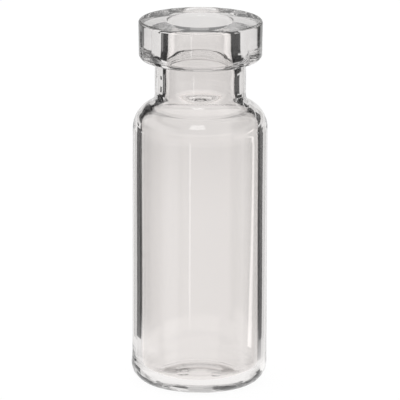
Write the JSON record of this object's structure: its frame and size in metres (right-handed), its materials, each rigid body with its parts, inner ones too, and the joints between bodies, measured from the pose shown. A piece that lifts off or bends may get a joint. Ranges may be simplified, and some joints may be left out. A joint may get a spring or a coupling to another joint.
{
  "type": "glass sample vial",
  "caption": "Clear glass sample vial with a hollowed base, straight body, drawn-in shoulder, short neck and thick crimp flange around an open mouth.",
  "frame": {"origin": "middle of the face that the vial stands on", "axes": "+Z along the vial's own axis, from the base to the mouth; the vial is round, so X and Y are alike"},
  "size_m": [0.0116, 0.0116, 0.032],
  "materials": {
    "clear_glass": "clear flame-polished tube glass"
  },
  "bodies": {
    "root": {"vial": "clear_glass"}
  },
  "joints": []
}
